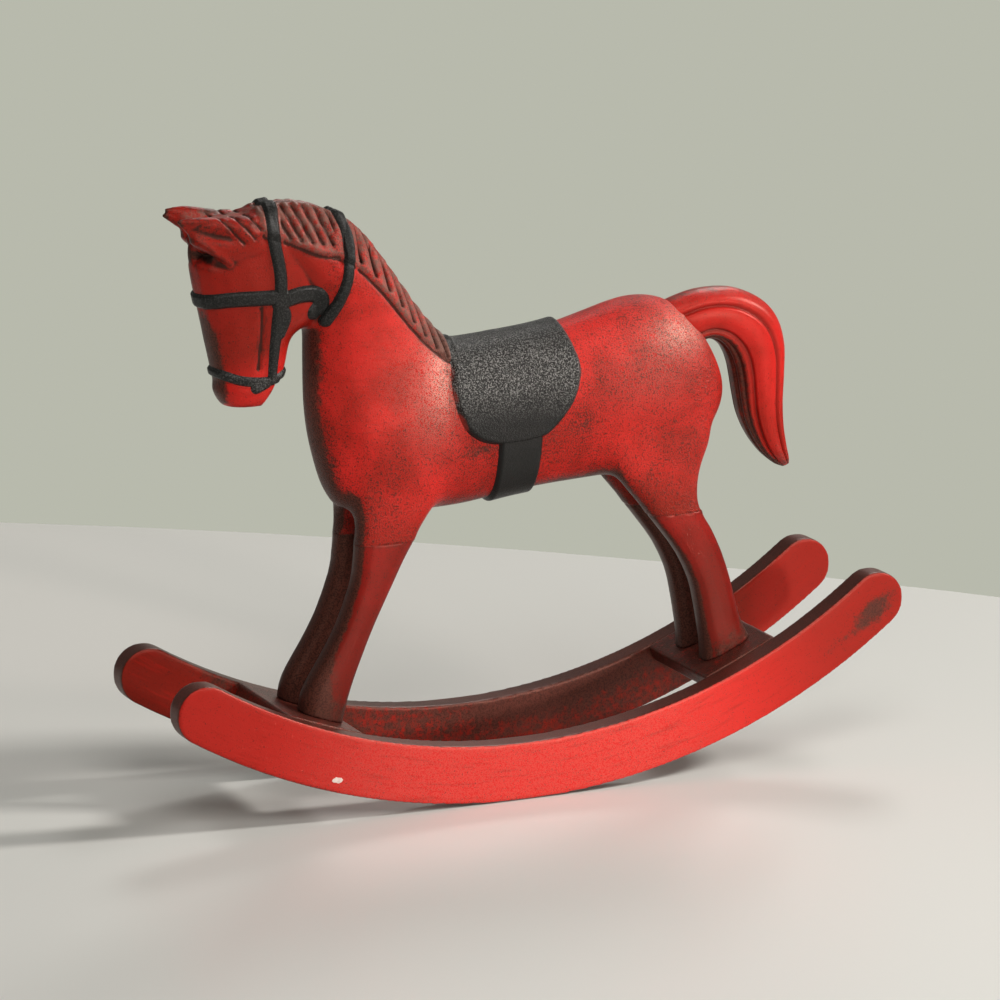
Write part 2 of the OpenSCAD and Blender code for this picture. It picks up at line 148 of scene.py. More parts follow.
lamp("sun_window", (1.05, -0.42, 0.78), (0.02, 0, 0.06), 14.0, 0.15, (1.0, 0.95, 0.9))
lamp("low_window", (0.42, -1.1, 0.22), (0.03, -0.02, 0.048), 52.0, 0.16, (1.0, 0.84, 0.78), cone=9.6)
lamp("front_fill", (-0.35, -1.05, 1.1), (0.0, 0, 0.07), 9.5, 0.7, (1.0, 0.95, 0.9))
lamp("back_window", (0.6, 0.8, 0.9), (0.02, 0, 0.06), 4.0, 0.3, (1.0, 0.97, 0.94))

camera_data = bpy.data.cameras.new("camera")
camera_data.lens = LENS
camera_data.sensor_width = SENSOR_WIDTH
camera_data.clip_start = NEAREST
camera = bpy.data.objects.new("camera", camera_data)
CAMERA_UP = CAMERA_BACK.cross(CAMERA_RIGHT)
camera.matrix_world = Matrix.Translation(CAMERA_PLACE) @ Matrix(
    (CAMERA_RIGHT, CAMERA_UP, CAMERA_BACK)
).transposed().to_4x4()
bpy.context.scene.collection.objects.link(camera)
bpy.context.scene.camera = camera
bpy.context.scene.view_settings.view_transform = "Standard"

# ---- Carved block ---------------------------------------------------------------------
# Head, ears, neck, mane and trunk are one block of wood, sawn to the side outline, rounded
# over with knife and file, then painted red and rubbed with black on its edges.
BLOCK_VOXEL = 0.32
BLOCK_TRIANGLES = 190000
SAME_POINT = 1e-6
JOINT_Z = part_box("front_left_leg")[1].z / MM


def node_copy(name, *nodes):
    """One loose mesh from copies of CAD nodes, with their doubled points merged."""
    joined = bpy.data.meshes.new(name)
    points, faces = [], []
    for n in nodes:
        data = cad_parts[n].data
        data.calc_loop_triangles()
        start = len(points)
        points += [v.co[:] for v in data.vertices]
        faces += [[start + i for i in t.vertices] for t in data.loop_triangles]
    joined.from_pydata(points, [], faces)
    made = bpy.data.objects.new(name, joined)
    bpy.context.scene.collection.objects.link(made)
    weld = made.modifiers.new("weld", "WELD")
    weld.merge_threshold = SAME_POINT
    return made


def applied(piece):
    """Turns all modifiers of a piece into plain mesh."""
    depsgraph = bpy.context.evaluated_depsgraph_get()
    mesh = bpy.data.meshes.new_from_object(piece.evaluated_get(depsgraph), depsgraph=depsgraph)
    piece.modifiers.clear()
    piece.data = mesh
    return piece


def remeshed(piece, voxel):
    """Closes a piece into one skin of small even squares, voxel millimetres wide."""
    change = piece.modifiers.new("voxels", "REMESH")
    change.mode = "VOXEL"
    change.voxel_size = voxel * MM
    return applied(piece)


def read_points(mesh):
    """Points of a mesh in millimetres."""
    flat = np.empty(len(mesh.vertices) * 3)
    mesh.vertices.foreach_get("co", flat)
    return flat.reshape(-1, 3) / MM


def write_points(mesh, points):
    mesh.vertices.foreach_set("co", (points * MM).ravel())
    mesh.update()


class Skin:
    """Points of a mesh in millimetres, with its neighbours for smoothing."""

    def __init__(self, mesh):
        self.mesh = mesh
        self.points = read_points(mesh)
        pairs = np.empty(len(mesh.edges) * 2, np.int64)
        mesh.edges.foreach_get("vertices", pairs)
        pairs = pairs.reshape(-1, 2)
        self.a = np.concatenate([pairs[:, 0], pairs[:, 1]])
        self.b = np.concatenate([pairs[:, 1], pairs[:, 0]])
        self.count = np.maximum(np.bincount(self.a, minlength=len(self.points)), 1)

    def around(self, values):
        """Mean of each point's neighbours."""
        if values.ndim == 1:
            return np.bincount(self.a, values[self.b], len(self.points)) / self.count
        return np.stack([self.around(values[:, k]) for k in range(values.shape[1])], 1)

    def smooth(self, weight, rounds):
        """Files the surface down: each point moves to the mean of its neighbours by weight."""
        weight = np.broadcast_to(weight, len(self.points))[:, None]
        for _ in range(rounds):
            self.points += weight * (self.around(self.points) - self.points)

    def polish(self, weight, rounds):
        """Takes off ripples and keeps the volume: a smoothing step, then a smaller one back."""
        for _ in range(rounds):
            self.smooth(weight * 0.6, 1)
            self.smooth(weight * -0.62, 1)

    def spread(self, values, rings):
        """Carries the highest values outward over some rings of neighbours."""
        values = values.copy()
        for _ in range(rings):
            np.maximum.at(values, self.a, values[self.b])
        return values

    def blur(self, values, rounds):
        for _ in range(rounds):
            values = 0.5 * values + 0.5 * self.around(values)
        return values

    def normals(self):
        write_points(self.mesh, self.points)
        flat = np.empty(len(self.points) * 3)
        self.mesh.vertices.foreach_get("normal", flat)
        return flat.reshape(-1, 3)

    def hollow(self, normals):
        """How hollow the surface is at each point, in millimetres over one step."""
        return ((self.around(self.points) - self.points) * normals).sum(1)


def step(low, high, values):
    """0 at low, 1 at high, soft in between."""
    t = np.clip((values - low) / (high - low), 0, 1)
    return t * t * (3 - 2 * t)


def line_distance(x, z, line):
    """Distance in the side view to a line of (x, z) points."""
    best = np.full(len(x), 1e9)
    for (ax, az), (bx, bz) in zip(line[:-1], line[1:]):
        dx, dz = bx - ax, bz - az
        t = np.clip(((x - ax) * dx + (z - az) * dz) / (dx * dx + dz * dz), 0, 1)
        best = np.minimum(best, np.hypot(x - ax - t * dx, z - az - t * dz))
    return best


def curve_through(points, steps=8):
    """Smooth line through points, as a list of more points."""
    p = np.array(points, float)
    p = np.vstack([2 * p[0] - p[1], p, 2 * p[-1] - p[-2]])
    out = []
    for i in range(1, len(p) - 2):
        for k in range(steps):
            t = k / steps
            out.append(
                0.5
                * (
                    2 * p[i]
                    + (p[i + 1] - p[i - 1]) * t
                    + (2 * p[i - 1] - 5 * p[i] + 4 * p[i + 1] - p[i + 2]) * t * t
                    + (3 * p[i] - p[i - 1] - 3 * p[i + 1] + p[i + 2]) * t**3
                )
            )
    out.append(p[-2])
    return np.array(out)


# The ears are leaves that point forward, each with a ridge round a hollow outer face. A row
# gives x, the top, the underside and half the thickness.
EAR_ROWS = [
    (-56.5, 137.2, 126.5, 3.1),
    (-61.5, 137.2, 126.0, 3.4),
    (-65.5, 137.3, 126.0, 3.3),
    (-68.0, 137.5, 126.4, 3.0),
    (-69.8, 137.6, 127.8, 2.6),
    (-71.5, 137.6, 130.8, 1.9),
    (-73.7, 137.4, 134.2, 1.0),
    (-75.8, 137.2, 136.6, 0.3),
]
EAR_Y = 4.7
EAR_SIDES = 28
# the left ear was carved a little lower than the right one
EAR_LIFT = {-1: -0.7, 1: 1.2}


def loft_faces(rows, sides):
    """Faces of a closed loft: rows rings of sides points each, with both ends capped."""
    faces = []
    for i in range(rows - 1):
        for k in range(sides):
            n = (k + 1) % sides
            faces.append((i * sides + k, i * sides + n, (i + 1) * sides + n, (i + 1) * sides + k))
    return faces + [tuple(range(sides))[::-1], tuple(range((rows - 1) * sides, rows * sides))]


def ear_leaf(side):
    """Closed loft of flat ovals from the poll to the tip of one ear."""
    rows = curve_through(EAR_ROWS, 6)
    points = []
    for x, top, bottom, half in rows:
        for k in range(EAR_SIDES):
            a = 2 * math.pi * k / EAR_SIDES
            height = (top + bottom) / 2 + (top - bottom) / 2 * math.cos(a)
            rise = EAR_LIFT[side] * float(step(-60, -74, x))
            points.append((x, side * EAR_Y + half * math.sin(a), height + rise))
    faces = loft_faces(len(rows), EAR_SIDES)
    if side < 0:
        faces = [f[::-1] for f in faces]
    return np.array(points) * MM, faces


rough_block = node_copy("horse_body_carved", "horse_body")
applied(rough_block)
rough = rough_block.data
points = [v.co[:] for v in rough.vertices]
faces = [tuple(p.vertices) for p in rough.polygons]
for side in (-1, 1):
    ear_points, ear_faces = ear_leaf(side)
    faces += [tuple(len(points) + i for i in f) for f in ear_faces]
    points += [tuple(p) for p in ear_points]
rough.clear_geometry()
rough.from_pydata(points, [], faces)
block = remeshed(rough_block, BLOCK_VOXEL)
skin = Skin(block.data)
x, y, z = skin.points.T

# Every inside corner where neck, trunk and legs meet is filed to a wide soft curve. The mane,
# the head and the flat ends of the leg joints keep their shape. Each number of strokes is how
# often the file goes over the spot.
CORNER_STROKES = 150
THROAT_STROKES = 10
PLAIN_STROKES = 80
WHOLE_STROKES = 16
MANE_STROKES = 170
THROAT_AT = (-43.5, 113)
MANE = curve_through([(-57, 140.2), (-45, 140.4), (-35, 135.5), (-26, 124.5), (-17.5, 112.5), (-9, 103.2)])
normals = skin.normals()
corner = step(0.004, 0.02, skin.blur(skin.hollow(normals), 2))
body_zone = step(112.5, 107.5, z) * step(7.5, 9.5, line_distance(x, z, MANE))
joint_zone = step(JOINT_Z + 0.25, JOINT_Z + 3, z)
corner = skin.blur(skin.spread(corner * body_zone, 11), 14) * body_zone * joint_zone
skin.smooth(corner * 0.9, CORNER_STROKES)
throat = step(4.5, 2.5, np.hypot(x - THROAT_AT[0], z - THROAT_AT[1]))
skin.smooth(throat * 0.4, THROAT_STROKES)
head_zone = step(110.5, 113.5, z) * step(-36, -41, x)
ear_zone = step(-57, -60, x) * step(127.5, 129.5, z)
plain_zone = (1 - head_zone) * joint_zone * step(8.5, 11, line_distance(x, z, MANE))
skin.smooth(plain_zone * 0.5, PLAIN_STROKES)
skin.smooth(joint_zone * (1 - ear_zone) * 0.5, WHOLE_STROKES)
mane_zone = step(11, 8, line_distance(x, z, MANE)) * (1 - ear_zone)
skin.smooth(mane_zone * 0.5, MANE_STROKES)
skin.smooth(mane_zone * step(-35, -39, x) * 0.5, MANE_STROKES)

# The filing lowers the crest of the neck, so it is raised back to its line.
CREST_DROP_X, CREST_DROP = (-44, -30), (1.7, 0.3)
x, y, z = skin.points.T
crest_x = np.arange(-58.0, -9.0, 0.5)
crest_z = np.array([z[(np.abs(x - c) < 0.4) & (np.abs(y) < 0.5)].max(initial=0) for c in crest_x])
lost = np.interp(crest_x, MANE[:, 0], MANE[:, 1]) - np.interp(crest_x, CREST_DROP_X, CREST_DROP) - crest_z
lost = np.convolve(np.pad(lost, 4, "edge"), np.ones(9) / 9, "valid")
fade = step(9, 0.5, line_distance(x, z, MANE)) * step(-8, -12, x) * (1 - ear_zone)
skin.points[:, 2] += np.interp(x, crest_x, lost) * fade
skin.polish(joint_zone * 1.0, 8)

# The mane is a raised strip along the crest. Its lower edge is cut in with a knife, and short
# slanting cuts part the locks: they lean forward at the poll and back at the withers.
MANE_EDGE = curve_through([
    (-56.5, 133), (-50, 130.5), (-43.5, 127.5), (-37, 126), (-32.5, 122.5),
    (-27.5, 117.2), (-22.5, 111), (-17.5, 105.4), (-12.5, 101.2), (-8, 99.3),
])
POLL_STEP = 2.55
POLL_CUTS = [((-58.2 + POLL_STEP * k, 142.5), (-52.0 + POLL_STEP * k, 131.6 - 0.5 * k)) for k in range(7)]
LOCK_CUTS = [
    ((-34.4, 134.4), (-33, 125)),
    ((-31.2, 131), (-29.6, 121.6)),
    ((-28, 127.4), (-26.4, 118.2)),
    ((-25.1, 123.2), (-23.4, 114.4)),
    ((-22.3, 119.2), (-20.6, 110.6)),
    ((-19.4, 115.4), (-17.8, 107.2)),
    ((-16.6, 111.8), (-15.1, 104.2)),
    ((-13.8, 108.2), (-12.4, 101.8)),
]
FORELOCK_CUTS = [
    ((-66.4, 137.4), (-61.2, 131.4)),
    ((-63.6, 138.2), (-58.6, 132.4)),
    ((-60.8, 139.0), (-56.4, 133.6)),
]
CHEEK_CUT = curve_through([(-57.2, 116.6), (-57, 112), (-57.3, 107), (-57.6, 102.6)])
# a leaning knife cuts this far back and down for each millimetre nearer the middle
LEAN_X, LEAN_Z, LEAN_Y = 0.445, 0.255, 4.0
POLL_LEAN = 0.4


def cut(points, depth, width, lean=0.0):
    """Depth of a smooth groove along a side-view line. With lean, the knife slants inward."""
    inward = lean * (LEAN_Y - np.abs(y))
    away = line_distance(x - LEAN_X * inward, z + LEAN_Z * inward, points)
    return depth * np.exp(-((away / width) ** 2))


def lock_side(x, z):
    """1 above the lower edge of the mane, 0 below it, with a soft step."""
    edge_z = np.interp(x, MANE_EDGE[:, 0], MANE_EDGE[:, 1])
    return step(-0.5, 0.5, (z - edge_z) * 0.72) * step(-57.5, -56.0, x) * step(-10.6, -12.2, x)


# Middle lines of two bridle straps in the side view; the locks stop at them.
CROWN = curve_through([(-52.4, 143.5), (-54.0, 134), (-52.6, 122.8), (-53.4, 112.1), (-54.1, 99.6)])
THROAT = curve_through([(-38.6, 142), (-37.3, 137), (-35.7, 131), (-36.4, 123), (-38.6, 117), (-41.4, 112.2)])

# The drawing of the horse is set forward by this much on its rockers.
BALANCE = -0.5
x, y, z = skin.points.T
x = x - BALANCE
normals = skin.normals()
mane = lock_side(x, z)
sides = step(0.9, 2.0, np.abs(y))
free = step(1.9, 2.6, np.minimum(line_distance(x, z, CROWN), line_distance(x, z, THROAT)))
locks = np.zeros(len(x))
for line in LOCK_CUTS:
    locks = np.maximum(locks, cut(line, 0.95, 0.42))
for line in POLL_CUTS:
    locks = np.maximum(locks, cut(line, 0.66, 0.5, POLL_LEAN) * step(-38.2, -39.2, x))
for line in FORELOCK_CUTS:
    locks = np.maximum(locks, cut(line, 0.4, 0.32) * step(138.4, 136.8, z))
before_crown = step(-55.8, -57.2, x)
locks *= free * np.where(before_crown > 0.5, 1, step(1.4, 2.8, np.abs(y)))
hair = np.maximum(mane, before_crown)
edge_cut = free * cut(MANE_EDGE, 0.55, 0.5) * (1 - before_crown)
cuts = np.maximum(locks * hair, edge_cut)
cheek = cut(CHEEK_CUT, 0.45, 0.5)


def hollow_spot(px, pz, rx, rz, slope):
    """Soft oval in the side view that falls toward the back by slope."""
    return np.exp(-(((x - px) / rx) ** 2 + ((z - pz + slope * (x - px)) / rz) ** 2))


# A hollow is scooped under each ear, and the outer face of the ear is dished.
SOCKET_DEPTH, DISH_DEPTH, RIDGE_HEIGHT, MANE_HEIGHT = 2.4, 1.2, 0.55, 0.75
EAR_RIDGE = [(-73.6, 132.6), (-70.6, 131.6), (-64.5, 127.0)]
socket = hollow_spot(-70.4, 128.2, 3.6, 1.3, 0.32)
dish = hollow_spot(-67.5, 133.6, 5.2, 1.5, 0.25) * step(3.5, 5.5, np.abs(y))
ridge = RIDGE_HEIGHT * np.exp(-((line_distance(x, z, EAR_RIDGE) / 0.8) ** 2))
lift = mane * MANE_HEIGHT + ridge - np.maximum(cuts, cheek) - SOCKET_DEPTH * socket - DISH_DEPTH * dish
skin.points += normals * (lift * sides)[:, None]
# The muzzle ends in a flat sawn face.
MUZZLE_PLANES = [
    ((-62.0, 93.9), (0.0, -1.0)),
    ((-65.4, 94.6), (-0.82, -0.57)),
    ((-56.6, 94.4), (0.82, -0.57)),
]
MUZZLE_SWELL = 0.7
muzzle = step(100, 97, z) * step(-50, -52, x)
skin.points += normals * (muzzle * MUZZLE_SWELL)[:, None]
for (px, pz), (nx, nz) in MUZZLE_PLANES:
    over = (skin.points[:, 0] - px) * nx + (skin.points[:, 2] - pz) * nz
    over = np.where((muzzle > 0) & (over > 0), over, 0)
    skin.points -= np.outer(over, (nx, 0.0, nz))
skin.polish(joint_zone * 0.6, 2)
normals = skin.normals()
x, y, z = skin.points.T
x = x - BALANCE

# Paint is guided by values from 0 to 1 on the points: how hollow the spot is, for painted shade in
# hollows, how far the edge stands out, where the maker rubbed black on with a rag, and where shade
# or highlights are painted in. A guide that is left out is 0.
def guide(mesh, name, values):
    layer = mesh.attributes.new(name, "FLOAT", "POINT")
    layer.data.foreach_set("value", np.clip(values, 0, 1).astype(np.float32))


hollow_now = skin.blur(skin.hollow(normals), 3)
groove = step(0.002, 0.012, hollow_now)
edge = step(0.004, 0.016, -hollow_now)
front = step(-0.45, -0.92, normals[:, 0])
under = step(-0.5, -0.95, normals[:, 2])
top = step(0.55, 0.95, normals[:, 2])


def patch(px, pz, rx, rz, sign=-1):
    """Soft oval of rubbed paint on one side of the horse."""
    return np.exp(-(((x - px) / rx) ** 2 + ((z - pz) / rz) ** 2)) * step(0.5, 2.5, sign * y)


# strength, then the place and half sizes of each rubbed spot
RUBBED_SPOTS = [
    (0.6, -37, 66, 8, 6),
    (0.4, 30, 70, 6, 5),
    (0.35, 40, 108, 9, 4),
    (0.5, -12.5, 100, 2.5, 8),
    (0.5, 21, 84, 3, 5),
    (0.6, -4, 80, 8, 2),
]
# painted highlights: pale specks at the shoulder, the rump and the neck
PAINTED_HIGHLIGHT_SPOTS = [
    (0.95, -13.5, 99, 3.8, 8),
    (0.95, 46, 103, 7, 4.5),
    (0.1, -20, 98, 12, 14),
    (0.2, 38, 96, 12, 8),
    (0.25, -17, 92, 6, 10),
]
chest = front * step(118, 108, z)
# painted shade: black on the faces under the belly that look down
belly_painted_shade = under * step(60, 70, z) * (z < 90)
forehead = step(-0.7, -0.97, normals[:, 0]) * step(96, 112, z)
forelock = before_crown * step(130, 134, z)
between_ears = np.exp(-(((x + 64) / 3) ** 2)) * step(136.2, 137.4, z) * (y > -3)
ear_tip = step(-74, -76.5, x)
rub_and_painted_shade = 0.9 * chest + 0.75 * belly_painted_shade + 0.42 * forehead + 0.2 * mane * top + 0.5 * mane + 0.42 * forelock
# the black in the hollow under each ear (socket) is painted shade
rub_and_painted_shade += 0.6 * between_ears + 0.9 * socket + 0.8 * ear_tip + 0.5 * patch(-38, 66, 8, 6, 1)
rub_and_painted_shade += sum(amount * patch(*spot) for amount, *spot in RUBBED_SPOTS)
smooth_neck = np.exp(-(((x + 30) / 14) ** 2 + ((z - 103) / 22) ** 2)) * step(0.2, 0.7, np.abs(normals[:, 1]))
rough_grain = (1 - 0.75 * smooth_neck) * (step(-44, -40, x) * 0.75 + 0.25)
mesh = block.data
write_points(mesh, skin.points)
# the groove guide is painted shade: black in the hollows, the lock cuts and the cheek cut
guide(mesh, "groove", np.maximum(groove, np.maximum(locks * hair, 0.8 * cheek) * sides))
guide(mesh, "edge", edge)
guide(mesh, "rub_and_painted_shade", rub_and_painted_shade)
guide(mesh, "speckle", rough_grain)
# painted shade: a dimmer red on the head, on the lower trunk, on faces that look down and low on the back
# half
deep_tone_and_painted_shade = 0.75 * step(-36, -46, x) * step(104, 112, z + 0.35 * (-46 - x)) + 0.75 * step(75, 60, z) + 0.25 * under
guide(mesh, "deep_tone_and_painted_shade", deep_tone_and_painted_shade + 0.3 * step(10, 40, x) * step(98, 90, z))
# the pale guide carries the painted highlights
guide(mesh, "pale", sum(amount * patch(*spot) for amount, *spot in PAINTED_HIGHLIGHT_SPOTS))
guide(mesh, "worn", np.maximum(mane * 0.9, before_crown * step(133.5, 136, z) * step(3.6, 2.6, np.abs(y))))

RED = (0.60, 0.016, 0.013)
RED_DEEP = (0.36, 0.008, 0.004)
# the dimmest red stands for painted shade
RED_IN_PAINTED_SHADE = (0.22, 0.008, 0.003)
BLACK_RUB_AND_SHADE = (0.018, 0.008, 0.006)
BROWN_RUB_AND_SHADE = (0.075, 0.026, 0.018)
GREY_WORN = (0.30, 0.16, 0.13)
# pale specks that stand for painted highlights
PAINTED_HIGHLIGHT_SPECK = (0.80, 0.40, 0.33)
# sizes of the patterns in the paint, in millimetres
CLOUD_SIZE, BRUSH_SIZE, RAGGED_SIZE, SPECK_SIZE = 14, 1.1, 1.6, 0.35
ONE_CLOUD = 0.42
RED_ROUGHNESS = 0.37
RED_GLOSS = 0.42
RED_SHEEN = (1.0, 0.52, 0.42, 1.0)
RED_RELIEF = 0.3


class Mixer:
    """One material in the making. Sizes of patterns and reliefs are in millimetres."""

    def __init__(self, name, base, roughness, flow=False):
        self.material, self.surface, self.node = shader(name, base, roughness)
        if flow:
            self.place = self.node("ShaderNodeAttribute", attribute_name="flow").outputs["Vector"]
        else:
            self.place = self.node("ShaderNodeTexCoord").outputs["Object"]

    def guide(self, name):
        return self.node("ShaderNodeAttribute", attribute_name=name).outputs["Fac"]

    def noise(self, size, detail, rough=0.6, stretch=(1, 1, 1)):
        turned = self.node("ShaderNodeMapping", {"Vector": self.place, "Scale": stretch}).outputs[0]
        pattern = {"Vector": turned, "Scale": 1 / (size * MM), "Detail": detail, "Roughness": rough}
        return self.node("ShaderNodeTexNoise", pattern).outputs["Fac"]

    def ramp(self, value, low, high, most=1.0):
        """0 at low, most at high, soft in between."""
        limits = {0: value, 1: low, 2: high, 3: 0.0, 4: most}
        return self.node("ShaderNodeMapRange", limits, interpolation_type="SMOOTHSTEP").outputs[0]

    def plus(self, a, b):
        return self.node("ShaderNodeMath", {0: a, 1: b}, operation="ADD").outputs[0]

    def minus(self, a, b):
        return self.node("ShaderNodeMath", {0: a, 1: b}, operation="SUBTRACT").outputs[0]

    def times(self, a, b):
        return self.node("ShaderNodeMath", {0: a, 1: b}, operation="MULTIPLY").outputs[0]

    def over(self, under, color, share):
        """Puts a colour over another one; share is how much of it covers."""
        pair = [c if isinstance(c, bpy.types.NodeSocket) else (*c, 1.0) for c in (under, color)]
        return self.node("ShaderNodeMix", {0: share, 6: pair[0], 7: pair[1]}, data_type="RGBA").outputs[2]

    def wire(self, value, socket):
        self.material.node_tree.links.new(value, self.surface.inputs[socket])

    def relief(self, height, strength, depth):
        bump = {"Strength": strength, "Distance": depth * MM, "Height": height}
        self.wire(self.node("ShaderNodeBump", bump).outputs[0], "Normal")


def red_paint(name, grain=(0.12, 1.0, 1.0), flow=False, cloudy=True, bump=0.8, rubbed=BLACK_RUB_AND_SHADE, painted_shade=1.0):
    """Red paint over black: wood grain, dark specks, black rubs, painted shade in hollows, painted
    highlights.
    """
    # a shade factor below 1 darkens every red of the piece as painted shade
    bright, deep_tone_and_painted_shade, painted_shade_red = [tuple(painted_shade * c for c in tone) for tone in (RED, RED_DEEP, RED_IN_PAINTED_SHADE)]
    mix = Mixer(name, RED, RED_ROUGHNESS, flow)
    mix.surface.inputs["Specular IOR Level"].default_value = RED_GLOSS
    mix.surface.inputs["Specular Tint"].default_value = RED_SHEEN
    clouds = mix.noise(CLOUD_SIZE, 4) if cloudy else ONE_CLOUD
    streaks = mix.noise(BRUSH_SIZE, 4, stretch=grain)
    specks = mix.noise(SPECK_SIZE, 2, 0.7)
    ragged = mix.noise(RAGGED_SIZE, 5, 0.75)

    # the red itself: clouds, a dimmer red by guide as painted shade, brush streaks and painted highlight
    # specks
    color = mix.over(bright, deep_tone_and_painted_shade, mix.ramp(clouds, 0.35, 0.68)) if cloudy else bright
    color = mix.over(color, painted_shade_red, mix.guide("deep_tone_and_painted_shade"))
    color = mix.over(color, deep_tone_and_painted_shade, mix.times(mix.ramp(streaks, 0.5, 0.75), 0.45 if cloudy else 0.7))
    color = mix.over(color, PAINTED_HIGHLIGHT_SPECK, mix.times(mix.guide("pale"), mix.ramp(specks, 0.4, 0.52)))

    # black specks, closer together on rough, cloudy and rubbed paint, and in painted shade
    crowd = mix.plus(mix.times(mix.guide("speckle"), 0.11), mix.times(mix.guide("rub_and_painted_shade"), 0.1))
    crowd = mix.plus(crowd, mix.times(mix.minus(clouds, 0.5), 0.18))
    speck_mask = mix.ramp(mix.plus(specks, mix.minus(crowd, 0.66)), -0.03, 0.05)
    color = mix.over(color, BLACK_RUB_AND_SHADE, mix.times(speck_mask, 0.8))

    # black rubbed on with a rag and black painted shade, with a ragged border, then worn edges, worn grey,
    # and painted shade in grooves and cuts
    border = mix.times(mix.minus(ragged, 0.5), 1.3)
    rub_and_shade_mask = mix.times(mix.ramp(mix.plus(mix.guide("rub_and_painted_shade"), border), 0.36, 0.78), 0.93)
    color = mix.over(color, mix.over(BROWN_RUB_AND_SHADE, rubbed, mix.ramp(specks, 0.42, 0.62)), rub_and_shade_mask)
    edge_mask = mix.times(mix.guide("edge"), mix.ramp(ragged, 0.4, 0.62, 0.5))
    color = mix.over(color, BLACK_RUB_AND_SHADE, edge_mask)
    worn_mask = mix.times(mix.guide("worn"), mix.ramp(ragged, 0.32, 0.6, 0.55))
    color = mix.over(color, GREY_WORN, worn_mask)
    color = mix.over(color, BLACK_RUB_AND_SHADE, mix.times(mix.guide("groove"), 0.93))

    mix.wire(color, "Base Color")
    mix.wire(mix.plus(RED_ROUGHNESS - 0.05, mix.times(ragged, 0.12)), "Roughness")
    grit_and_glint = mix.times(specks, mix.plus(mix.guide("speckle"), 0.15))
    mix.relief(mix.plus(grit_and_glint, mix.times(streaks, 0.25)), bump, RED_RELIEF)
    return mix.material


def finished(piece, material, node):
    """Paints a red piece and puts it in the place of its CAD node."""
    piece.data.materials.clear()
    piece.data.materials.append(material)
    piece.data.polygons.foreach_set("use_smooth", [True] * len(piece.data.polygons))
    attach(piece, "root")
    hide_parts(node)


carved_red = red_paint("carved_red_paint")

# ---- Saddle, girth and bridle ---------------------------------------------------------
# Raised relief on the block, cut round with a knife and painted with thick rough black. Each
# is a skin that follows the carved surface and slopes down into it at its edges.
quads = np.empty(len(mesh.polygons) * 4, np.int64)
mesh.polygons.foreach_get("vertices", quads)
quads = quads.reshape(-1, 4)
EDGE_OUT = 0.5
SINK = 0.6
SINK_AT_EDGE = 0.36
BLACK = (0.009, 0.0095, 0.009)
# grey of the painted glints on the rough black
PAINTED_GLINT_GREY = (0.30, 0.30, 0.29)
RED_SHOWING = (0.30, 0.03, 0.02)
GRIT_SIZE, WEAR_SIZE = 0.34, 5
BLACK_GLOSS = 0.22
BLACK_RELIEF = 0.35


def black_paint(name, roughness, grit_and_glint, bump):
    """Thick black paint: grey specks as painted glints, a little red showing through where it is rubbed."""
    mix = Mixer(name, BLACK, roughness)
    mix.surface.inputs["Specular IOR Level"].default_value = BLACK_GLOSS
    fine = mix.noise(GRIT_SIZE, 2, 0.7)
    broad = mix.noise(WEAR_SIZE, 3, 0.5)
    painted_glint_mask = mix.times(mix.ramp(fine, 0.47, 0.64, grit_and_glint), mix.guide("painted_glint_band"))
    worn_mask = mix.ramp(mix.times(mix.guide("worn"), broad), 0.3, 0.5, 0.85)
    mix.wire(mix.over(mix.over(BLACK, PAINTED_GLINT_GREY, painted_glint_mask), RED_SHOWING, worn_mask), "Base Color")
    mix.relief(fine, bump, BLACK_RELIEF)
    return mix.material


def relief(name, inside, height, slope, material, worn=None):
    """Closed skin over the part of the block where inside (in millimetres) is over zero."""
    picked = quads[(inside[quads] > -EDGE_OUT).all(1)]
    used, faces = np.unique(picked, return_inverse=True)
    faces = faces.reshape(-1, 4)
    rise = -SINK_AT_EDGE + (height + SINK_AT_EDGE) * step(-EDGE_OUT, slope, inside[used])
    upper = skin.points[used] + normals[used] * rise[:, None]
    lower = skin.points[used] - normals[used] * SINK
    n = len(used)
    sides = set(map(tuple, np.concatenate([faces[:, [k, (k + 1) % 4]] for k in range(4)])))
    rim = [(a, b) for a, b in sides if (b, a) not in sides]
    walls = [(b, a, a + n, b + n) for a, b in rim]
    all_faces = [tuple(f) for f in faces] + [tuple(f[::-1] + n) for f in faces] + walls
    piece = mesh_piece(f"{name}_relief", np.vstack([upper, lower]) * MM, all_faces, material)
    # painted glints: grey specks mostly in a band at middle height
    painted_glint_band = 0.06 + 0.94 * step(85, 96, z[used]) * (0.3 + 0.7 * step(106, 98, z[used]))
    guide(piece.data, "painted_glint_band", np.tile(painted_glint_band, 2))
    if worn is not None:
        guide(piece.data, "worn", np.tile(worn[used], 2))
    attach(piece, "root")
    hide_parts(name)


SADDLE_LINE = curve_through([
    (-10.6, 109), (-10.9, 104.6), (-12, 96.5), (-11.6, 92), (-10.8, 88.9), (-9.2, 85.4), (-6.5, 83),
    (-3.2, 81.6), (1, 81), (6, 81.2), (10.6, 82), (13.5, 84), (15.9, 86.6), (18.2, 89.8),
    (19.7, 94), (20.1, 97.6), (19.1, 101.7), (18.1, 105.5), (17.8, 110),
], 4)
ABOVE = 200.0
NOWHERE = -9.0


def inside_outline(outline):
    """Distance inside a side-view outline that is open at the top; minus outside."""
    away = line_distance(x, z, outline)
    crossings = np.zeros(len(x), bool)
    ring = [*outline, (outline[-1][0], ABOVE), (outline[0][0], ABOVE), outline[0]]
    for (ax, az), (bx, bz) in zip(ring[:-1], ring[1:]):
        spans = (az > z) != (bz > z)
        with np.errstate(divide="ignore", invalid="ignore"):
            crossings ^= spans & (x < (bx - ax) * (z - az) / (bz - az) + ax)
    return np.where(crossings, away, -away)


